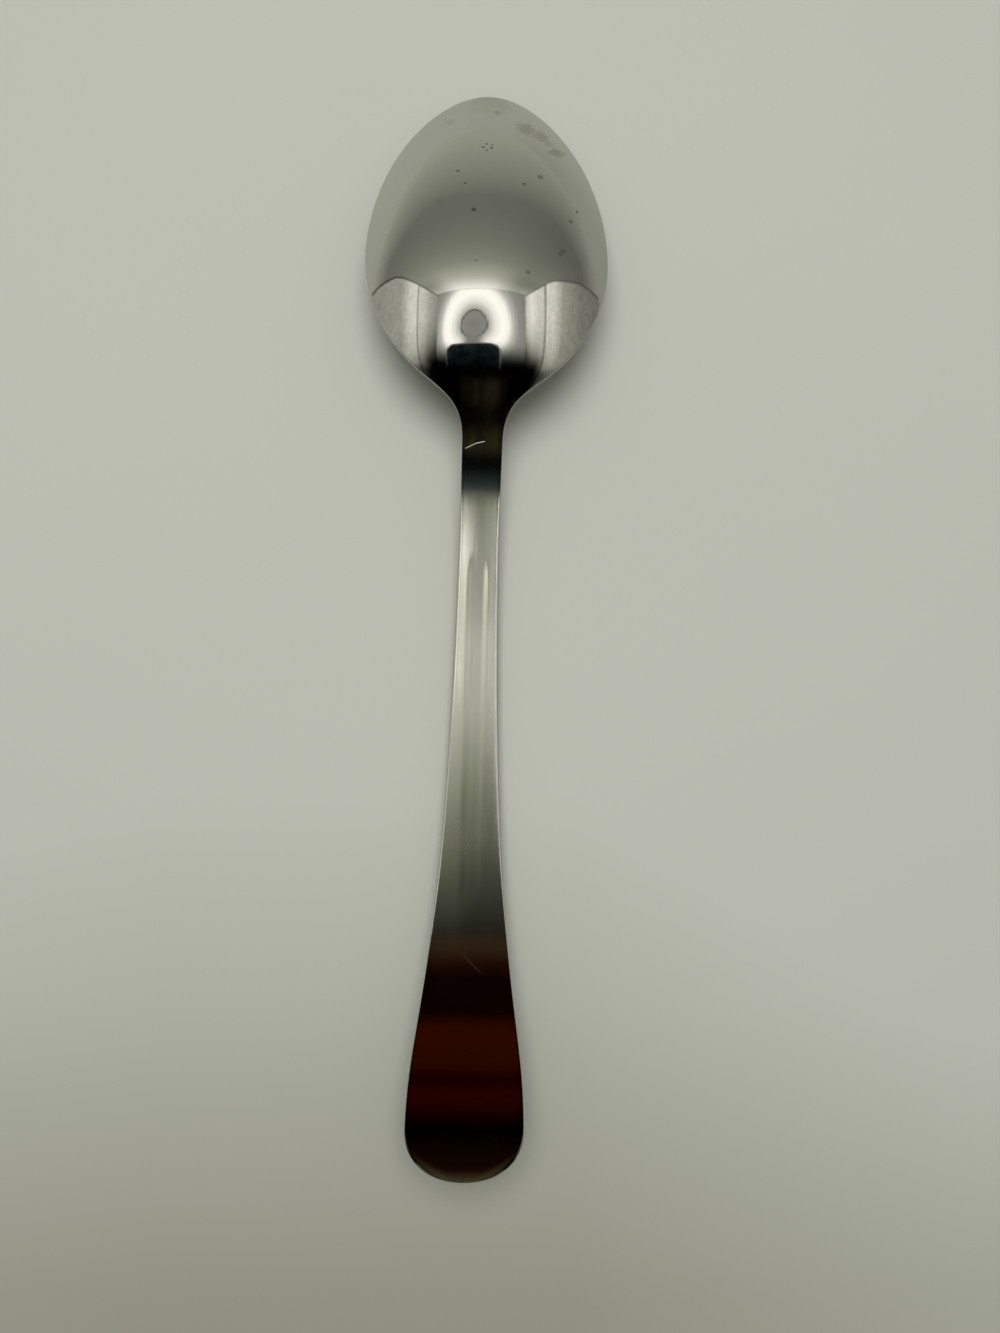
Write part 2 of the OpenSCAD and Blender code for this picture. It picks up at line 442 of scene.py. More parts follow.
@dataclass(frozen=True)
class SpoonProfile:
    """The heights and thicknesses of the spoon, in millimetres."""

    plan: SpoonPlan = SpoonPlan()
    bowl_height: float = 7.5
    bowl_thick: float = 1.3
    rim_width: float = 1.2
    rim_side: float = 0.6
    rim_rise: float = 11.5
    neck_thick: float = 2.7
    neck_lift: float = 4.5
    neck_arch: float = 300.0
    end_thick: float = 1.6
    end_lift: float = 8.4
    touch_at: float = 89.0
    crown: float = 0.05
    rim_round: float = 0.12
    neck_round: float = 0.08
    stem_round: float = 0.35
    stem_round_over: float = 15.0
    late_round: float = 0.12
    late_from: float = 112.0
    late_over: float = 16.0
    end_round: tuple[float, float] = (2.0, 0.45)
    edge_land: float = 0.1
    under_lean: float = 0.6
    under_share: float = 0.7
    under_full: float = 2.0
    thick_from: float = 0.55
    dome_share: float = 0.857
    dome_lean: float = 0.55
    dome_last: float = 1.3
    hollow_share: float = 0.86
    least_hollow: float = 0.3
    section_edge: float = 0.31
    edge_blend: float = 4.6
    throat_blend: float = 8.0

    def thickness(self, s: float) -> float:
        """Returns the thickness of the blank's edge at a distance from the tip."""
        bowl, length = self.plan.bowl_length, self.plan.length
        if s < bowl:
            return blend(self.rim_side, self.neck_thick, ease((s / bowl - self.thick_from) / (1 - self.thick_from)))
        return blend(self.neck_thick, self.end_thick, (s - bowl) / (length - bowl))

    def underside(self, s: float) -> float:
        """Returns the height of the handle's long arch above the table."""
        away = self.touch_at - s
        if away < 0:
            return self.end_lift * (away / (self.plan.length - self.touch_at)) ** 2
        reach = self.touch_at - self.plan.bowl_length
        turn = (self.neck_lift - reach ** 2 / (2 * self.neck_arch)) / reach ** 3
        return away * away / (2 * self.neck_arch) + turn * away ** 3

    def edge(self, s: float) -> float:
        """Returns the height of the back's two long edges."""
        rim = self.rim_side + s * self.rim_rise / self.plan.bowl_length
        return soft_min(rim, self.underside(s) + self.thickness(s), self.edge_blend)

    def dome(self, u: float) -> float:
        """Returns the bowl's lengthwise curve, 1 at its top and 0 at u = -1 and 1."""
        lean = self.dome_lean
        top = (math.sqrt(1 + 3 * lean * lean) - 1) / (3 * lean)
        return (1 - u * u) * (1 + lean * u) / ((1 - top * top) * (1 + lean * top))

    def camber(self, s: float) -> float:
        """Returns how far the middle of the back stands above its edges."""
        u = 2 * s / (self.dome_share * self.plan.bowl_length) - 1
        back = self.bowl_height * self.dome(min(u, self.dome_last))
        return back if s < self.plan.widest_at else -soft_min(-back, -self.crown, self.throat_blend)

    def hollow(self, s: float) -> float:
        """Returns how deep the bowl's front is dished."""
        u = 2 * (s - self.rim_width) / (self.hollow_share * self.plan.bowl_length - self.rim_width) - 1
        return (self.bowl_height + self.rim_side - self.bowl_thick) * max(self.dome(min(max(u, -1.0), 1.0)), 0.0)

    def across(self, v: float) -> float:
        """Returns the share of the camber that is left at v of the half width."""
        return 1 - (1 - self.section_edge) * v * v - self.section_edge * v ** 4

    def inside(self, station: Station) -> float:
        """Returns the half width of a section's hollow, which leaves the rim flat."""
        return max(self.least_hollow * station.half, station.half - self.rim_width * station.steep)

    def rounding(self, station: Station) -> tuple[float, float]:
        """Measures the rounded edge of the back.

        Args:
            station: the section.

        Returns:
            How far the rounding reaches in from the outline, and how far it falls off.
        """
        s, bowl = station.from_tip, self.plan.bowl_length
        turn = ease((s - self.plan.flank_at) / (bowl - self.plan.flank_at))
        radius = blend(self.rim_round, self.neck_round, turn)
        radius = blend(radius, self.stem_round, ease((s - bowl) / self.stem_round_over))
        radius = blend(radius, self.late_round, ease((s - self.late_from) / self.late_over))
        facing = ease(-station.slope / station.steep) if s > self.plan.end_at else 0.0
        return blend(radius, self.end_round[0], facing), blend(radius, self.end_round[1], facing)

    def back(self, station: Station, x: float) -> float:
        """Returns the height of the back at x from the middle of a section."""
        s = station.from_tip
        reach, drop = self.rounding(station)
        out = min(max(1 - self.plan.inset(station, x) / reach, 0.0), 1.0)
        height = self.edge(s) + self.camber(s) * self.across(x / station.half)
        return height - drop * (1 - math.sqrt(1 - out * out))

    def slant(self, station: Station) -> tuple[float, float]:
        """Returns the width and the height of the slant that narrows the underside of a section."""
        s = station.from_tip
        straight = self.thickness(s) - self.rounding(station)[1] - self.edge_land
        height = straight * min(1.0, station.half / self.under_full)
        width = min(self.under_lean * height * station.steep, self.under_share * (station.half - self.inside(station)))
        return width, height

    def front(self, station: Station, x: float) -> float:
        """Returns the height of the front at x from the middle of a section."""
        s = station.from_tip
        width, height = self.slant(station)
        dish = self.hollow(s) * max(self.across(min(x / self.inside(station), 1.0)), 0.0)
        return self.edge(s) - self.thickness(s) + dish + height * max(1 - (station.half - x) / width, 0.0)


class Blank:
    """A flat plate in edit mode, whose points are moved in pairs, each with its mirror image."""

    def __init__(self, name: str, rows: int, reach: int) -> None:
        """Cuts the plate.

        Args:
            name: the piece's name.
            rows: how many rows of points it has, from the bowl's tip to the handle's end.
            reach: how many columns it has on each side of the middle one.
        """
        self.reach = reach
        bpy.ops.object.select_all(action="DESELECT")
        bpy.ops.mesh.primitive_grid_add(x_subdivisions=2 * reach, y_subdivisions=rows - 1, size=2.0)
        self.piece = bpy.context.object
        self.piece.name = self.piece.data.name = name
        bpy.ops.object.mode_set(mode="EDIT")
        bpy.ops.mesh.select_mode(type="VERT")
        bpy.ops.mesh.select_all(action="SELECT")
        bpy.ops.mesh.extrude_region_move(TRANSFORM_OT_translate={"value": (0.0, 0.0, -1.0)})
        bpy.ops.mesh.select_all(action="DESELECT")
        self.mesh = bmesh.from_edit_mesh(self.piece.data)
        self.points: dict[tuple[Side, int, int], bmesh.types.BMVert] = {}
        for point in self.mesh.verts:
            side = Side.BACK if point.co.z > -0.5 else Side.FRONT
            row = round((1 - point.co.y) / 2 * (rows - 1))
            self.points[side, row, round(point.co.x * reach)] = point

    def press(self, side: Side, row: int, column: int, place: Point) -> None:
        """Moves a point and its mirror image to their place.

        Args:
            side: the side of the blank.
            row: the row, counted from the tip.
            column: the column, counted from the middle.
            place: the new place of the one on the right, in millimetres.
        """
        x, y, z = (part * MM for part in place)
        pair = [self.points[side, row, sign * column] for sign in (1, -1)]
        for point in pair:
            point.select = True
        wider = x * self.reach / column if column else 1.0
        bpy.ops.transform.resize(value=(wider, 0.0, 0.0), center_override=(0.0, y, z))
        for point in pair:
            point.select = False

    def finish(self, levels: int) -> bpy.types.Object:
        """Turns the faces outwards and smooths the blank.

        Args:
            levels: how often the faces are divided.

        Returns:
            The finished piece.
        """
        bpy.ops.mesh.select_all(action="SELECT")
        bpy.ops.mesh.normals_make_consistent(inside=False)
        bpy.ops.object.mode_set(mode="OBJECT")
        smooth = self.piece.modifiers.new("smooth", "SUBSURF")
        smooth.levels = smooth.render_levels = levels
        bpy.ops.object.modifier_apply(modifier=smooth.name)
        bpy.ops.object.shade_smooth()
        return self.piece


@dataclass(frozen=True)
class BarePanel:
    """The sunk panel on the back of the handle, which is left bare, in millimetres."""

    start: float = 73.5
    length: float = 45.0
    width: float = 2.2
    wall: float = 0.7
    end_wall: float = 2.4
    depth: float = 0.07
    last_share: float = 0.4
    ease_out: float = 8.0

    @property
    def end(self) -> float:
        """Distance from the tip at which the panel ends."""
        return self.start + self.length

    def stops(self) -> list[float]:
        """Returns the distances from the tip at which its two end walls begin and end."""
        half = self.end_wall / 2
        return [self.start - half, self.start + half, self.end - half, self.end + half]

    def within(self, s: float, margin: float) -> float:
        """Returns a share that rises to 1 over a margin before the panel and falls off over one behind it."""
        return min(ease((s - self.start) / margin + 0.5), ease((self.end - s) / margin + 0.5))

    def columns(self) -> list[float]:
        """Returns the distances from the middle that follow its floor and its wall."""
        floor, top = (self.width - self.wall) / 2, (self.width + self.wall) / 2
        return [0.0, 0.5 * floor, floor, (floor + top) / 2, top]

    def depth_at(self, s: float, x: float) -> float:
        """Returns how deep the panel is at a distance from the tip and from the middle."""
        wall = ease(((self.width + self.wall) / 2 - x) / self.wall)
        shallow = blend(1.0, self.last_share, (s - self.start) / self.length)
        return self.depth * shallow * wall * self.within(s, self.end_wall)


@dataclass
class Teaspoon:
    """The whole spoon: bowl, neck and handle in one piece of steel."""

    plan: SpoonPlan = field(default_factory=SpoonPlan)
    profile: SpoonProfile = field(default_factory=SpoonProfile)
    panel: BarePanel = field(default_factory=BarePanel)
    reach: int = 15
    levels: int = 1
    edge_turns: tuple[float, ...] = (0.0, 0.35, 0.7, 0.92, 1.0)
    slant_turns: tuple[float, ...] = (1.0, 0.2, 0.0)

    def build(self) -> bpy.types.Object:
        """Presses the flat blank to the spoon's shape.

        Returns:
            The finished piece.
        """
        stations = self.plan.stations(self.panel.stops())
        blank = Blank("spoon_blank", len(stations), self.reach)
        for row, station in enumerate(stations):
            along = self.plan.length / 2 - station.from_tip
            for column, x in enumerate(self.back_columns(station)):
                sunk = self.panel.depth_at(station.from_tip, x)
                blank.press(Side.BACK, row, column, (x, along, self.profile.back(station, x) - sunk))
            for column, x in enumerate(self.front_columns(station)):
                blank.press(Side.FRONT, row, column, (x, along, self.profile.front(station, x)))
        return blank.finish(self.levels)

    def back_columns(self, station: Station) -> list[float]:
        """Spreads one row of the back's points over half a section.

        Args:
            station: the section.

        Returns:
            The distances from the middle, which grow closer on the panel's wall and on the rounded edge.
        """
        radius = min(self.profile.rounding(station)[0] * station.steep, station.half / 2)
        count, limit = self.reach - len(self.edge_turns) + 1, station.half - radius
        even = [limit * i / count for i in range(count)]
        held = self.panel.columns()
        rest = count - len(held) + 1
        held += [blend(held[-1], limit, i / rest) for i in range(1, rest)]
        hold = self.panel.within(station.from_tip, self.panel.ease_out)
        return [blend(e, h, hold) for e, h in zip(even, held)] + [limit + radius * turn for turn in self.edge_turns]

    def front_columns(self, station: Station) -> list[float]:
        """Spreads one row of the front's points over half a section.

        Args:
            station: the section.

        Returns:
            The distances from the middle, which grow closer on the rim's rounded edge.
        """
        inside, slant = self.profile.inside(station), self.profile.slant(station)[0]
        dish = self.reach - len(self.slant_turns)
        edge = [station.half - slant * turn for turn in self.slant_turns]
        return [inside * i / dish for i in range(dish + 1)] + edge

    def dress(self, piece: bpy.types.Object, finish: "PolishedSteel") -> None:
        """Gives the piece its steel, and puts it in the CAD nodes' place."""
        piece.data.materials.clear()
        piece.data.materials.append(finish.material())
        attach(piece, "root")
        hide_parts("bowl", "neck", "handle")


@dataclass(frozen=True)
class Ramp:
    """A level that changes along one axis, by stops of a place in metres and a level up to the largest."""

    axis: str
    stops: tuple[tuple[float, float], ...]
    largest: float = 2.0

    def level(self, graph: Graph, place: bpy.types.NodeSocket) -> Value:
        """Returns the level at a place."""
        return self.of(graph, graph.axis(place, self.axis))

    def of(self, graph: Graph, along: Value) -> Value:
        """Returns the level for a number that stands for the place."""
        low, high = self.stops[0][0], self.stops[-1][0]
        shares = [((at - low) / (high - low), (level / self.largest,) * 3) for at, level in self.stops]
        return graph.value("ShaderNodeValToRGB", {"stops": shares}, {0: (along - low) / (high - low)}) * self.largest


@dataclass(frozen=True)
class Bands:
    """A colour that changes along one axis, by stops of a place in metres and a colour."""

    axis: str
    stops: tuple[tuple[float, Colour], ...]

    def colour(self, graph: Graph) -> bpy.types.NodeSocket:
        """Returns the colour at the place that is shaded."""
        low, high = self.stops[0][0], self.stops[-1][0]
        shares = [((at - low) / (high - low), colour) for at, colour in self.stops]
        along = (graph.axis(graph.place(), self.axis) - low) / (high - low)
        return graph.node("ShaderNodeValToRGB", {"stops": shares}, {0: along}).outputs[0]


@dataclass(frozen=True)
class Mark:
    """A spot of wear: its place on the spoon from above, its size and its strength, in millimetres."""

    x: float
    y: float
    size: float
    strength: float = 1.0


@dataclass(frozen=True)
class Scratch:
    """A straight scratch between two places, in millimetres; its near-white colour is a painted glint."""

    start: Point
    end: Point
    width: float
    strength: float = 1.0


@dataclass(frozen=True)
class PolishedSteel:
    """Stainless steel with a worn polish: fine rubbing lines, dull clouds, stains, pits and scratches, whose near-white
    colour is a painted glint.
    """

    colour: Colour = (0.54, 0.545, 0.51)
    stain_colour: Colour = (0.37, 0.355, 0.31)
    pit_colour: Colour = (0.16, 0.16, 0.14)
    # painted glint: the near-white colour of the scratches
    scratch_glint_colour: Colour = (0.92, 0.91, 0.88)
    stain_cover: float = 0.9
    stain_ragged: float = 0.9
    stain_rough: float = 0.22
    pit_cover: float = 0.85
    pit_ragged: float = 0.35
    pit_rough: float = 0.25
    cut_rough: float = 0.42
    dullest: float = 0.7
    cloud_grains: float = 95.0
    cloud_contrast: Reach = (0.35, 0.75)
    fine_lines: Point = (4200.0, 110.0, 900.0)
    wide_lines: Point = (900.0, 40.0, 300.0)
    fine_share: float = 0.65
    line_contrast: Reach = (0.36, 0.68)
    lines_to_handle: Fade = (0.03, 0.0, 0.35, 1.0)
    least_wear: float = 0.8
    cloud_wear: float = 0.4
    line_wear: float = 0.4
    line_height: float = 0.5
    pit_depth: float = 1.6
    spot_grains: float = 1700.0
    spot_core: float = 0.35
    cut_grains: float = 2600.0
    cut_core: float = 0.3
    bump_strength: float = 0.12
    bump_depth: float = 0.00003
    polish: Ramp = Ramp("Y", (
        (-0.076, 0.02), (-0.057, 0.02), (-0.052, 0.04), (-0.047, 0.09), (-0.034, 0.20), (-0.020, 0.18),
        (-0.005, 0.12), (0.005, 0.09), (0.013, 0.05), (0.030, 0.04), (0.076, 0.05)), 1.0)
    stains: tuple[Mark, ...] = (
        Mark(1.1, 71.7, 0.8, 0.7), Mark(5.3, 68.3, 2.0, 0.8), Mark(7.4, 67.2, 1.8, 0.75),
        Mark(9.7, 64.0, 1.5, 0.85), Mark(8.6, 65.8, 1.1, 0.5), Mark(10.8, 64.6, 0.8, 0.5),
        Mark(-6.0, 69.3, 0.9, 0.35), Mark(-7.6, 72.4, 0.8, 0.4), Mark(-6.8, 51.2, 0.9, 0.3),
    )
    pits: tuple[Mark, ...] = (
        Mark(-1.0, 62.6, 0.34), Mark(-0.5, 63.4, 0.3), Mark(0.2, 62.5, 0.36), Mark(-0.5, 61.8, 0.28),
        Mark(0.3, 63.2, 0.26), Mark(-4.5, 57.0, 0.36), Mark(-3.4, 54.3, 0.24), Mark(7.1, 57.1, 0.6, 0.8),
        Mark(4.8, 54.9, 0.45, 0.7), Mark(-2.1, 49.2, 0.48), Mark(12.4, 52.2, 0.3), Mark(11.4, 49.8, 0.4, 0.9),
        Mark(9.8, 43.6, 0.4, 0.7), Mark(10.2, 44.2, 0.5, 0.6), Mark(-1.6, 41.0, 0.3, 0.5),
        Mark(5.4, 39.9, 0.4, 0.8),
    )
    # real scratches, whose near-white colour is a painted glint
    scratches: tuple[Scratch, ...] = (
        Scratch((-2.3, 17.8, 0.0), (-0.8, 18.5, 0.0), 0.03),
        Scratch((-0.8, 18.5, 0.0), (0.3, 18.75, 0.0), 0.045),
        Scratch((-0.8, -49.8, 0.0), (0.2, -50.7, 0.0), 0.07, 0.05),
        Scratch((0.2, -50.7, 0.0), (1.5, -51.9, 0.0), 0.07, 0.05),
    )

    def material(self) -> bpy.types.Material:
        """Builds the steel's nodes.

        Returns:
            The material.
        """
        made, graph = shaded("polished_steel")
        place = graph.place()
        lines = self.rubbing(graph, place)
        clouds = graph.noise(place, self.cloud_grains, 4.0, 0.55).fade(*self.cloud_contrast)
        stains = self.spots(graph, place, self.stains, self.stain_ragged)
        pits = self.spots(graph, place, self.pits, self.pit_ragged)
        cuts_and_glints = self.cuts_and_glints(graph, place)
        colour = graph.mixed(stains * self.stain_cover, self.colour, self.stain_colour)
        colour = graph.mixed(pits * self.pit_cover, colour, self.pit_colour)
        # painted glint: the scratches are coloured near white and not metallic
        colour = graph.mixed(cuts_and_glints, colour, self.scratch_glint_colour)
        worn = self.polish.level(graph, place) * (self.least_wear + self.cloud_wear * clouds + self.line_wear * lines)
        rough = worn + self.stain_rough * stains + self.pit_rough * pits + self.cut_rough * cuts_and_glints
        height = self.line_height * lines - self.pit_depth * pits - cuts_and_glints
        bump = graph.node("ShaderNodeBump", None, {
            "Strength": self.bump_strength, "Distance": self.bump_depth, "Height": height})
        shader = graph.node("ShaderNodeBsdfPrincipled", None, {
            "Base Color": colour, "Metallic": 1.0 - cuts_and_glints, "Roughness": rough.lowest(self.dullest),
            "Normal": bump.outputs[0]})
        graph.show(shader)
        return made

    def rubbing(self, graph: Graph, place: bpy.types.NodeSocket) -> Value:
        """Returns the fine lines that polishing left along the spoon, stronger on the handle."""
        fine = graph.noise(graph.stretched(place, self.fine_lines), 1.0, 3.0, 0.6)
        wide = graph.noise(graph.stretched(place, self.wide_lines), 1.0, 2.0, 0.5)
        handle = graph.axis(place, "Y").fade(*self.lines_to_handle)
        return (fine * self.fine_share + wide * (1 - self.fine_share)).fade(*self.line_contrast) * handle

    def spots(self, graph: Graph, place: bpy.types.NodeSocket, marks: Iterable[Mark], ragged: float) -> Value:
        """Draws spots of wear with ragged edges.

        Args:
            graph: the material's nodes.
            place: the place on the spoon.
            marks: the spots.
            ragged: how far the edges wander, as a share of a spot's size.

        Returns:
            A mask from 0 to 1.
        """
        flat = graph.stretched(place, (1 / MM, 1 / MM, 0.0))
        wander = graph.noise(place, self.spot_grains, 3.0, 0.6) - 0.5
        found = None
        for mark in marks:
            away = graph.near_point(flat, (mark.x, mark.y, 0.0)) + wander * (2.0 * ragged * mark.size)
            spot = away.fade(mark.size, self.spot_core * mark.size, 0.0, mark.strength)
            found = spot if found is None else found.highest(spot)
        return found

    def cuts_and_glints(self, graph: Graph, place: bpy.types.NodeSocket) -> Value:
        """Returns the mask of the scratches, which also places their painted glint."""
        flat = graph.stretched(place, (1 / MM, 1 / MM, 0.0))
        wander = graph.noise(place, self.cut_grains, 2.0, 0.5) - 0.5
        found = None
        for cut in self.scratches:
            away = graph.near_line(flat, cut.start, cut.end) + wander * cut.width
            line = away.fade(cut.width, self.cut_core * cut.width, 0.0, cut.strength)
            found = line if found is None else found.highest(line)
        return found


def glowing(name: str, colour: Callable[[Graph], Any], strength: float = 1.0,
            cover: Callable[[Graph], Value] | None = None) -> bpy.types.Material:
    """Makes a material that only shines.

    Args:
        name: its name.
        colour: a function that adds the nodes and returns the colour.
        strength: the strength of the shine.
        cover: a function that returns how much of what is behind is covered; everything if there is none.

    Returns:
        The material.
    """
    made, graph = shaded(name)
    shader = graph.node("ShaderNodeEmission", None, {"Color": colour(graph), "Strength": strength})
    if cover:
        shader = graph.layered(cover(graph), graph.node("ShaderNodeBsdfTransparent"), shader)
    graph.show(shader)
    return made


def panel(name: str, corners: tuple[Point, Point], material: bpy.types.Material, rays: Rays,
          rounding: float = 0.0) -> bpy.types.Object:
    """Adds a flat rectangular stage panel.

    Args:
        name: its name.
        corners: two opposite corners; the panel is flat along the axis in which they agree.
        material: its material.
        rays: the rays that it takes part in.
        rounding: the radius of its corners.

    Returns:
        The panel.
    """
    low, high = Vector(corners[0]), Vector(corners[1])
    size, middle = high - low, (low + high) / 2
    bpy.ops.object.select_all(action="DESELECT")
    bpy.ops.mesh.primitive_plane_add(size=1.0, location=middle)
    made = bpy.context.object
    made.name = name
    if abs(size.x) < FLAT:
        made.rotation_euler, made.scale = (0.0, math.pi / 2, 0.0), (abs(size.z), abs(size.y), 1.0)
    elif abs(size.y) < FLAT:
        made.rotation_euler, made.scale = (math.pi / 2, 0.0, 0.0), (abs(size.x), abs(size.z), 1.0)
    else:
        made.scale = (abs(size.x), abs(size.y), 1.0)
    bpy.ops.object.transform_apply(location=True, rotation=True, scale=True)
    if rounding > 0:
        bpy.ops.object.mode_set(mode="EDIT")
        bpy.ops.mesh.select_all(action="SELECT")
        bpy.ops.mesh.bevel(offset=rounding, segments=CORNER_STEPS, affect="VERTICES")
        bpy.ops.object.mode_set(mode="OBJECT")
    made.data.materials.append(material)
    if rays is Rays.REFLECTED:
        made.visible_camera = made.visible_diffuse = made.visible_shadow = False
    return made


def plain_panel(name: str, corners: tuple[Point, Point], colour: Colour, cover: Callable[[Graph], Value],
                rounding: float = 0.0) -> bpy.types.Object:
    """Adds a stage panel of one colour, which only the steel reflects.

    Args:
        name: its name.
        corners: two opposite corners.
        colour: its colour.
        cover: a function that returns how much of what is behind is covered.
        rounding: the radius of its corners.

    Returns:
        The panel.
    """
    return panel(name, corners, glowing(name, lambda graph: (*colour, 1.0), 1.0, cover), Rays.REFLECTED, rounding)


@dataclass
class Table:
    """The plain pale table top, darkened towards the viewer and less at the sides by painted shade, which melts into
    the pale surroundings far out.
    """

    size: float = 6.0
    colour: Colour = (0.513, 0.523, 0.458)
    roughness: float = 0.6
    cloud: float = 0.965
    cloud_grains: float = 14.0
    shade: Colour = (0.248, 0.243, 0.188)
    shade_until: Reach = (0.12, 0.32)
    far_colour: Colour = ROOM
    far_from: Reach = (0.20, 0.80)
    # painted shade: these two ramps set how far the colour goes from the shade colour to pale, by distance towards the
    # viewer and to the sides
    falloff: Ramp = Ramp("Y", ((-0.14, 0.0), (-0.0925, 0.26), (-0.056, 0.76), (-0.030, 1.0), (0.0, 1.05), (0.10, 1.05)))
    beside: Ramp = Ramp("X", ((-0.09, 0.12), (-0.04, 0.0), (0.015, 0.0), (0.065, 0.28), (0.10, 0.4)))

    def build(self) -> bpy.types.Object:
        """Adds the table top and gives it its material.

        Returns:
            The table top.
        """
        made, graph = shaded("pale_table")
        place = graph.place()
        clouds = graph.noise(place, self.cloud_grains, 3.0, 0.5)
        pale = graph.mixed(clouds, tuple(self.cloud * part for part in self.colour), self.colour)
        away = graph.near_point(place, (0.0, 0.0, 0.0))
        # painted shade: the colour goes from pale to the shade colour towards the viewer, less so at the sides
        share = self.falloff.level(graph, place) + self.beside.level(graph, place)
        share = share.highest(away.fade(*self.shade_until)).lowest(1.0)
        near = graph.node("ShaderNodeBsdfPrincipled", None, {
            "Base Color": graph.mixed(share, self.shade, pale), "Roughness": self.roughness, "Specular IOR Level": 0.0})
        far = graph.node("ShaderNodeEmission", None, {"Color": (*self.far_colour, 1.0), "Strength": 1.0})
        graph.show(graph.layered(away.fade(*self.far_from), near, far))
        half = self.size / 2
        return panel("table_top", ((-half, -half, 0.0), (half, half, 0.0)), made, Rays.SEEN)


@dataclass
class LightTent:
    """Plain panels round the table that the steel reflects: a pale tent with a round lamp, and dark cards above."""

    top: float = 0.40
    far_head: float = 0.129
    far_foot: float = 0.168
    left: float = -0.222
    right: float = 0.177
    rear: float = -0.30
    brightest: float = 2.0
    bright_tint: Colour = (1.03, 1.0, 0.95)
    top_tint: Colour = (1.02, 1.0, 0.94)
    far_tint: Colour = (0.98, 1.0, 0.845)
    left_tint: Colour = (1.01, 1.0, 0.88)
    right_tint: Colour = (1.01, 1.0, 0.87)
    rear_tint: Colour = (1.0, 1.0, 0.75)
    lamp: Reach = (-0.041, -0.022)
    lamp_size: Reach = (0.051, 0.062)
    lamp_gap: Reach = (0.056, 0.012)
    gap_from: Reach = (-0.055, -0.09)
    gap_level: float = 0.36
    left_line: float = 0.3
    right_line: float = 0.6
    line_width: Reach = (0.0015, 0.004)
    seam_blend: Reach = (-0.001, 0.001)
    wall_grains: float = 110.0
    wall_grain: Fade = (0.25, 0.75, 0.82, 1.18)
    far_aside: Fade = (0.05, 0.17, 1.0, 0.5)
    far_high: Reach = (0.15, 0.30)
    far_right: Fade = (-0.02, 0.12, 1.0, 0.78)
    foot_below: float = 0.01
    bright_from: Reach = (0.2, 0.6)
    card_grains: float = 90.0
    card_mottle: Fade = (0.3, 0.75, 0.15, 1.0)
    card: tuple[Point, Point] = ((-0.055, -0.165, 0.142), (0.021, -0.0195, 0.142))
    card_rounding: float = 0.014
    border_width: float = 0.002
    border_lift: float = 0.0005
    border_rounding: float = 0.015
    border_colour: Colour = (0.24, 0.235, 0.21)
    floor_shade: tuple[Point, Point] = ((0.004, 0.03, 0.0004), (0.177, 0.168, 0.0004))
    shade_from: Reach = (0.004, 0.035)
    shade_most: float = 0.2
    screen: tuple[Point, Point] = ((-0.135, -0.165, 0.144), (0.135, -0.010, 0.144))
    screen_sides: Reach = (0.13, 0.09)
    lamp_rings: Ramp = Ramp("X", (
        (0.0, 0.35), (0.90, 0.42), (0.96, 0.18), (1.02, 0.18), (1.07, 0.66), (1.58, 1.38), (2.1, 1.8),
        (2.6, 1.68), (2.95, 1.0), (3.15, 0.76), (3.6, 0.48), (4.5, 0.36)))
    top_rear: Ramp = Ramp("Y", ((-0.24, 0.0), (-0.205, 0.1), (-0.14, 0.7), (-0.10, 1.0), (0.13, 1.0)))
    far_levels: Ramp = Ramp("Z", (
        (0.0, 0.505), (0.009, 0.425), (0.029, 0.32), (0.045, 0.24), (0.064, 0.24), (0.119, 0.30), (0.182, 0.41),
        (0.278, 0.78), (0.388, 1.55), (0.394, 1.0), (0.40, 1.0)))
    left_levels: Ramp = Ramp("Z", (
        (0.0, 0.42), (0.12, 0.54), (0.165, 1.0), (0.208, 1.12), (0.213, 0.5), (0.219, 0.5), (0.224, 1.0),
        (0.26, 0.9), (0.31, 0.64), (0.40, 0.44)))
    right_levels: Ramp = Ramp("Z", (
        (0.0, 0.24), (0.056, 0.31), (0.122, 0.52), (0.165, 1.0), (0.208, 1.1), (0.215, 0.45), (0.222, 0.45),
        (0.229, 1.0), (0.274, 1.03), (0.329, 1.3), (0.40, 0.9)))
    left_seam: Ramp = Ramp("Z", (
        (0.0, 0.125), (0.02, 0.134), (0.088, 0.152), (0.12, 0.1535), (0.20, 0.1465), (0.40, 0.122)), 1.0)
    right_seam: Ramp = Ramp("Z", (
        (0.0, 0.115), (0.057, 0.129), (0.162, 0.146), (0.20, 0.1465), (0.28, 0.138), (0.40, 0.126)), 1.0)
    side_shade: Ramp = Ramp("Y", (
        (-0.30, 0.0), (-0.195, 0.02), (-0.13, 0.16), (-0.075, 0.44), (-0.025, 0.74), (0.05, 1.0), (0.168, 1.0)))
    rear_levels: Ramp = Ramp("Z", ((0.0, 0.16), (0.05, 0.11), (0.30, 0.10), (0.40, 0.06)))
    screen_cover: Ramp = Ramp("Y", (
        (-0.165, 1.0), (-0.064, 1.0), (-0.055, 0.88), (-0.035, 0.28), (-0.023, 0.05), (-0.010, 0.0)), 1.0)
    border_cover: Ramp = Ramp("Y", (
        (-0.165, 0.0), (-0.066, 0.0), (-0.055, 0.2), (-0.045, 0.5), (-0.027, 1.0), (-0.020, 1.0)), 1.0)
    card_bands: Bands = Bands("Y", (
        (-0.165, (0.002, 0.004, 0.003)), (-0.058, (0.002, 0.004, 0.003)), (-0.041, (0.012, 0.022, 0.023)),
        (-0.029, (0.017, 0.028, 0.030)), (-0.0195, (0.03, 0.04, 0.04))))

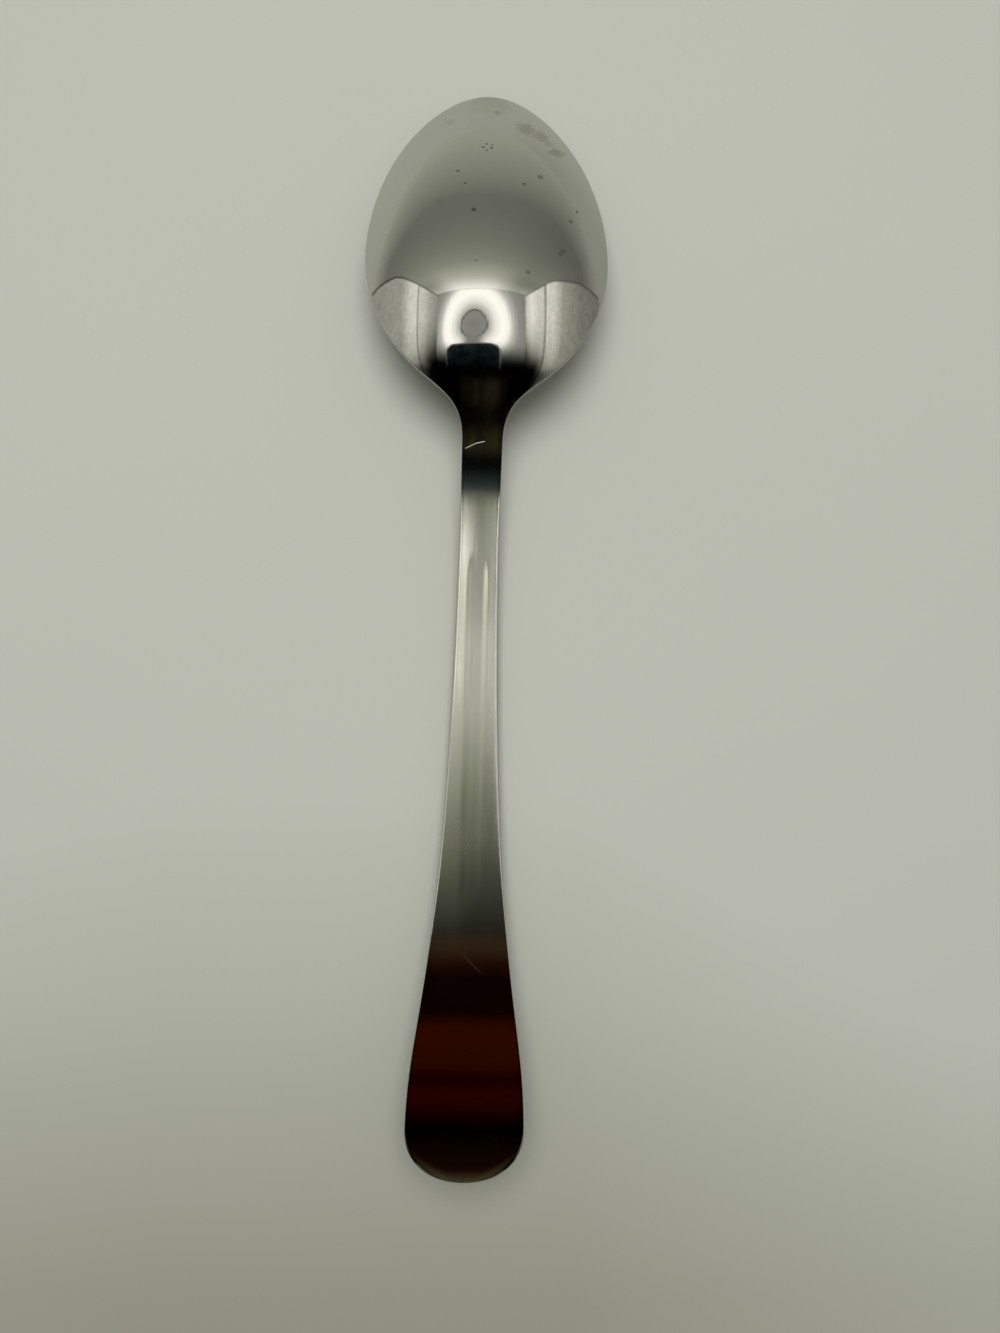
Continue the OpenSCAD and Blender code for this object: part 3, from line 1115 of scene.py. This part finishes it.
    def build(self) -> None:
        """Adds the tent's five panels, then the dark card with its border, the shade on the floor and the screen."""
        left, right, rear, top = self.left, self.right, self.rear, self.top
        head, foot = self.far_head, self.far_foot
        self.add("tent_top", ((left, rear, top), (right, head, top)), self.top_level, self.top_tint)
        far = self.add("tent_far", ((left, head, 0.0), (right, head, top)), self.far_level, self.far_tint)
        self.lean(far, foot - head)
        self.add("tent_left", ((left, rear, 0.0), (left, foot, top)), self.left_level, self.left_tint)
        self.add("tent_right", ((right, rear, 0.0), (right, foot, top)), self.right_level, self.right_tint)
        self.add("tent_rear", ((left, rear, 0.0), (right, rear, top)), self.rear_levels.level, self.rear_tint)
        dark = glowing("dark_card", self.card_colour)
        panel("dark_card", self.card, dark, Rays.REFLECTED, self.card_rounding)
        plain_panel("card_border", self.border(), self.border_colour, self.border_over, self.border_rounding)
        plain_panel("floor_shade", self.floor_shade, BLACK, self.shade_over)
        plain_panel("dark_screen", self.screen, BLACK, self.screen_over)

    def border(self) -> tuple[Point, Point]:
        """Returns the corners of the card's border, which lies just above the card and stands out on three sides."""
        (x_low, y_low, z), (x_high, y_high, _) = self.card
        side, lift = self.border_width, z + self.border_lift
        return (x_low - side, y_low, lift), (x_high + side, y_high + side, lift)

    def shade_over(self, graph: Graph) -> Value:
        """Returns how much the shade on the floor covers, which grows to the right."""
        return graph.axis(graph.place(), "X").fade(*self.shade_from, 0.0, self.shade_most)

    def card_colour(self, graph: Graph) -> bpy.types.NodeSocket:
        """Returns the dark card's colour, which is mottled."""
        mottled = graph.noise(graph.place(), self.card_grains, 4.0, 0.65).fade(*self.card_mottle)
        return graph.mixed(mottled, BLACK, self.card_bands.colour(graph))

    def border_over(self, graph: Graph) -> Value:
        """Returns how much the card's pale border covers, which fades towards the rear."""
        return self.border_cover.level(graph, graph.place())

    def screen_over(self, graph: Graph) -> Value:
        """Returns how much the screen covers, which fades towards the far wall and towards its two sides."""
        place = graph.place()
        return self.screen_cover.level(graph, place) * graph.axis(place, "X").math("ABSOLUTE").fade(*self.screen_sides)

    def add(self, name: str, corners: tuple[Point, Point],
            level: Callable[[Graph, bpy.types.NodeSocket], Value], tint: Colour) -> bpy.types.Object:
        """Adds one panel of the tent.

        Args:
            name: its name.
            corners: two opposite corners.
            level: a function that adds the nodes and returns the light's level.
            tint: the colour of its light.

        Returns:
            The panel.
        """
        def colour(graph: Graph) -> bpy.types.NodeSocket:
            """Returns the panel's colour, as a share of the brightest."""
            share = level(graph, graph.place()) / self.brightest
            return graph.mixed(share, BLACK, graph.mixed(share.fade(*self.bright_from), tint, self.bright_tint))

        return panel(name, corners, glowing(name, colour, self.brightest), Rays.REFLECTED)

    def lean(self, made: bpy.types.Object, foot: float) -> None:
        """Moves the lower edge of a panel along Y, so that it leans."""
        bpy.ops.object.mode_set(mode="EDIT")
        bpy.ops.mesh.select_all(action="DESELECT")
        mesh = bmesh.from_edit_mesh(made.data)
        for point in mesh.verts:
            point.select = point.co.z < self.foot_below
        bpy.ops.transform.translate(value=(0.0, foot, 0.0))
        bpy.ops.object.mode_set(mode="OBJECT")

    def far_level(self, graph: Graph, place: bpy.types.NodeSocket) -> Value:
        """Returns the level of the far wall, which is brightest above its middle and a little darker on the right."""
        aside = (graph.axis(place, "X") - self.lamp[0]).math("ABSOLUTE").fade(*self.far_aside)
        high = graph.axis(place, "Z").fade(*self.far_high)
        right = graph.axis(place, "X").fade(*self.far_right)
        return self.far_levels.level(graph, place) * (1.0 + (aside - 1.0) * high) * right

    def top_level(self, graph: Graph, place: bpy.types.NodeSocket) -> Value:
        """Returns the level of the top: a round lamp with a dim ringed middle, open towards the rear."""
        wide, deep = self.lamp_size
        scaled = graph.stretched(place, (1 / wide, 1 / deep, 0.0))
        rings = self.lamp_rings.of(graph, graph.near_point(scaled, (self.lamp[0] / wide, self.lamp[1] / deep, 0.0)))
        aside = (graph.axis(place, "X") - self.lamp[0]).math("ABSOLUTE")
        gap = aside.fade(*self.lamp_gap) * graph.axis(place, "Y").fade(*self.gap_from)
        return (rings + (self.gap_level - rings) * gap) * self.top_rear.level(graph, place)

    def left_level(self, graph: Graph, place: bpy.types.NodeSocket) -> Value:
        """Returns the level of the left wall."""
        return self.side_level(graph, place, self.left_levels, self.left_seam, self.left_line)

    def right_level(self, graph: Graph, place: bpy.types.NodeSocket) -> Value:
        """Returns the level of the right wall."""
        return self.side_level(graph, place, self.right_levels, self.right_seam, self.right_line)

    def side_level(self, graph: Graph, place: bpy.types.NodeSocket, levels: Ramp, seam: Ramp, line: float) -> Value:
        """Gives a side wall its light.

        Args:
            graph: the panel's nodes.
            place: the place on it.
            levels: its levels by height.
            seam: where the far wall's colour begins, by height.
            line: the share of the light that the seam itself keeps.

        Returns:
            The level.
        """
        past = graph.axis(place, "Y") - seam.level(graph, place)
        grain = graph.noise(place, self.wall_grains, 5.0, 0.65).fade(*self.wall_grain)
        lit = levels.level(graph, place) * self.side_shade.level(graph, place) * grain
        level = lit + (self.far_level(graph, place) - lit) * past.fade(*self.seam_blend)
        return level * past.math("ABSOLUTE").fade(*self.line_width, line, 1.0)


@dataclass
class LowCards:
    """Cards close above the neck and the handle, which only the steel reflects: dark at both ends, lit in between."""

    neck: tuple[Point, Point] = ((-0.045, 0.0072, 0.030), (0.045, 0.0162, 0.030))
    handle: tuple[Point, Point] = ((-0.014, -0.0435, 0.030), (0.018, 0.0072, 0.030))
    end: tuple[Point, Point] = ((-0.018, -0.13, 0.030), (0.018, -0.0435, 0.030))
    tint: Colour = (1.0, 1.0, 0.87)
    dark_tint: Colour = (0.98, 1.03, 0.70)
    neck_grains: float = 420.0
    neck_mottle: Fade = (0.3, 0.7, 0.35, 1.25)
    neck_uneven: Fade = (-0.005, 0.005, 0.6, 1.0)
    neck_even: Fade = (0.0086, 0.0092, 1.0, 0.0)
    neck_sides: Reach = (0.0095, 0.0030)
    neck_ends: Reach = (0.0161, 0.0142)
    neck_width: Reach = (0.016, 0.0105)
    throat_ends: Reach = (0.0161, 0.0105)
    throat_width: Reach = (0.045, 0.012)
    right_from: Reach = (-0.0018, 0.0004)
    streaks_from: Reach = (-0.017, -0.010)
    bright_from: Reach = (0.15, 0.7)
    brightest: float = 2.0
    edge_blend: float = 0.0008
    end_sides: Reach = (0.0108, 0.0084)
    lip_from: Reach = (-0.0715, -0.0735)
    lip_sides: Reach = (0.020, 0.006)
    neck_bands: Bands = Bands("Y", (
        (0.0072, (0.24, 0.235, 0.205)), (0.0076, (0.05, 0.06, 0.057)), (0.0080, (0.020, 0.032, 0.033)),
        (0.0088, BLACK), (0.0094, BLACK), (0.0102, (0.052, 0.044, 0.021)), (0.0133, (0.004, 0.003, 0.001)),
        (0.0162, BLACK)))
    left_levels: Ramp = Ramp("Y", (
        (-0.0435, 0.016), (-0.0362, 0.125), (-0.025, 0.44), (-0.0140, 0.82), (-0.0089, 1.05), (-0.002, 0.95),
        (0.0034, 1.15), (0.0051, 0.92), (0.0066, 0.55), (0.0072, 0.24)))
    right_levels: Ramp = Ramp("Y", (
        (-0.0435, 0.011), (-0.0362, 0.06), (-0.0283, 0.16), (-0.0205, 0.38), (-0.0127, 0.72), (-0.0052, 0.82),
        (-0.002, 0.62), (0.0051, 0.5), (0.0066, 0.42), (0.0072, 0.22)))
    across: Ramp = Ramp("X", (
        (-0.0090, 1.5), (-0.0068, 1.4), (-0.0058, 0.6), (-0.0046, 0.6), (-0.0038, 1.3), (-0.0033, 1.45),
        (-0.0026, 1.0), (0.0004, 0.75), (0.0026, 1.05), (0.0033, 0.95), (0.0043, 1.5), (0.0050, 0.8), (0.0066, 0.7)))
    right_edge: Ramp = Ramp("Y", (
        (-0.0435, 0.018), (-0.038, 0.018), (-0.033, 0.011), (-0.028, 0.0080), (-0.020, 0.0068), (0.0072, 0.0066)), 1.0)
    end_bands: Bands = Bands("Y", (
        (-0.13, (0.10, 0.10, 0.06)), (-0.083, (0.060, 0.052, 0.024)), (-0.0735, (0.017, 0.004, 0.001)),
        (-0.0668, BLACK), (-0.0656, (0.004, 0.0, 0.0)), (-0.0627, (0.032, 0.001, 0.0)), (-0.0609, (0.012, 0.0, 0.0)),
        (-0.0587, (0.036, 0.004, 0.0)), (-0.0548, (0.040, 0.004, 0.0)), (-0.0531, (0.006, 0.001, 0.0)),
        (-0.0488, (0.005, 0.0, 0.0)), (-0.0470, (0.016, 0.003, 0.0)), (-0.0449, (0.042, 0.020, 0.007)),
        (-0.0435, (0.036, 0.023, 0.009))))

    def build(self) -> None:
        """Adds the three cards."""
        neck = glowing("neck_card", self.neck_colour, 1.0, self.neck_over)
        panel("neck_card", self.neck, neck, Rays.REFLECTED)
        handle = glowing("handle_card", self.handle_colour, 1.0, self.handle_over)
        panel("handle_card", self.handle, handle, Rays.REFLECTED)
        panel("end_card", self.end, glowing("end_card", self.end_colour), Rays.REFLECTED)

    def neck_colour(self, graph: Graph) -> bpy.types.NodeSocket:
        """Returns the neck card's colour, which is mottled and fades to its sides."""
        place = graph.place()
        mottled = graph.noise(place, self.neck_grains, 3.0, 0.6).fade(*self.neck_mottle)
        uneven = mottled * graph.axis(place, "X").fade(*self.neck_uneven)
        shown = uneven.highest(graph.axis(place, "Y").fade(*self.neck_even))
        shown = shown * graph.axis(place, "X").math("ABSOLUTE").fade(*self.neck_sides)
        return graph.mixed(shown, BLACK, self.neck_bands.colour(graph))

    def neck_over(self, graph: Graph) -> Value:
        """Returns what the neck card covers, which fades towards the bowl and to its sides."""
        place = graph.place()
        along, aside = graph.axis(place, "Y"), graph.axis(place, "X").math("ABSOLUTE")
        middle = along.fade(*self.neck_ends) * aside.fade(*self.neck_width)
        return middle.highest(along.fade(*self.throat_ends) * aside.fade(*self.throat_width))

    def handle_colour(self, graph: Graph) -> bpy.types.NodeSocket:
        """Returns the handle card's colour, which is paler on the left and streaked near the neck."""
        place = graph.place()
        left, right = self.left_levels.level(graph, place), self.right_levels.level(graph, place)
        level = left + (right - left) * graph.axis(place, "X").fade(*self.right_from)
        streaks = 1.0 + (self.across.level(graph, place) - 1.0) * graph.axis(place, "Y").fade(*self.streaks_from)
        dark, bright = (tuple(self.brightest * part for part in tint) for tint in (self.dark_tint, self.tint))
        tint = graph.mixed(level.fade(*self.bright_from), dark, bright)
        return graph.mixed(level * streaks / self.brightest, BLACK, tint)

    def handle_over(self, graph: Graph) -> Value:
        """Returns what the handle card covers: it ends beside the handle on the right, farther out towards the end."""
        place = graph.place()
        return (graph.axis(place, "X") - self.right_edge.level(graph, place)).fade(self.edge_blend, 0.0)

    def end_colour(self, graph: Graph) -> bpy.types.NodeSocket:
        """Returns the end card's colour, which is black beside the handle."""
        place = graph.place()
        along, aside = graph.axis(place, "Y"), graph.axis(place, "X").math("ABSOLUTE")
        shown = aside.fade(*self.end_sides).highest(along.fade(*self.lip_from) * aside.fade(*self.lip_sides))
        return graph.mixed(shown, BLACK, self.end_bands.colour(graph))


@dataclass
class StudioLight:
    """One soft lamp above the table, and an even light from all round."""

    place: Point = (-0.03, 0.12, 0.55)
    size: float = 0.45
    power: float = 2.4
    aim_at: Point = (0.0, -0.01, 0.0)
    around: float = 0.34
    around_tint: Colour = (1.0, 1.0, 0.985)
    background: Colour = ROOM

    def build(self) -> None:
        """Adds the lamp and sets the world."""
        bpy.ops.object.light_add(type="AREA", location=self.place)
        lamp = bpy.context.object
        lamp.name = "soft_lamp"
        lamp.data.shape = "DISK"
        lamp.data.size = self.size
        lamp.data.energy = self.power
        lamp.visible_glossy = False
        aim = Vector(self.aim_at) - Vector(self.place)
        lamp.rotation_euler = aim.to_track_quat("-Z", "Y").to_euler()
        world = bpy.data.worlds.new("pale_room")
        world.use_nodes = True
        bpy.context.scene.world = world
        graph = Graph(world.node_tree)
        rays = graph.node("ShaderNodeLightPath")
        seen = [Value(graph, rays.outputs[n]) for n in ("Is Camera Ray", "Is Glossy Ray", "Is Transmission Ray")]
        direct = (seen[0] + seen[1] + seen[2]).lowest(1.0)
        light = tuple(self.around * part for part in self.around_tint)
        colour = graph.mixed(direct, light, self.background)
        shader = graph.node("ShaderNodeBackground", None, {"Color": colour, "Strength": 1.0})
        graph.show(shader, "ShaderNodeOutputWorld")


@dataclass
class PhotoCamera:
    """The camera, close above the spoon and a little to one side, as in the photograph."""

    place: Point = (-0.0022427, -0.0317326, 0.1387)
    look_at: Point = (0.0034275, -0.0113056, 0.0)
    heading: float = -0.023
    focal_pixels: float = 1003.0
    long_side: float = 1333.0
    sensor: float = 36.0
    clip: Reach = (0.005, 20.0)

    def build(self) -> bpy.types.Object:
        """Adds the camera and makes it the scene's camera.

        Returns:
            The camera.
        """
        data = bpy.data.cameras.new("camera")
        camera = bpy.data.objects.new("camera", data)
        bpy.context.scene.collection.objects.link(camera)
        data.sensor_width = self.sensor
        data.lens = self.focal_pixels / self.long_side * self.sensor
        data.clip_start, data.clip_end = self.clip
        forward = (Vector(self.look_at) - Vector(self.place)).normalized()
        right = forward.cross(Vector((math.sin(self.heading), math.cos(self.heading), 0.0))).normalized()
        up = right.cross(forward)
        turn = Matrix((right, up, -forward)).transposed()
        camera.matrix_world = Matrix.Translation(self.place) @ turn.to_4x4()
        bpy.context.scene.camera = camera
        return camera


def main() -> None:
    """Builds the camera, the stage and the spoon, and logs the spoon's triangle count."""
    logging.basicConfig(level=logging.INFO, format="%(name)s: %(message)s")
    PhotoCamera().build()
    Table().build()
    LightTent().build()
    LowCards().build()
    StudioLight().build()
    spoon = Teaspoon()
    piece = spoon.build()
    spoon.dress(piece, PolishedSteel())
    triangles = sum(len(face.vertices) - 2 for face in piece.data.polygons)
    LOG.info("%s: %d triangles, replaces bowl, neck and handle", piece.name, triangles)
    bpy.context.scene.view_settings.view_transform = "Standard"


if __name__ == "__main__":
    main()
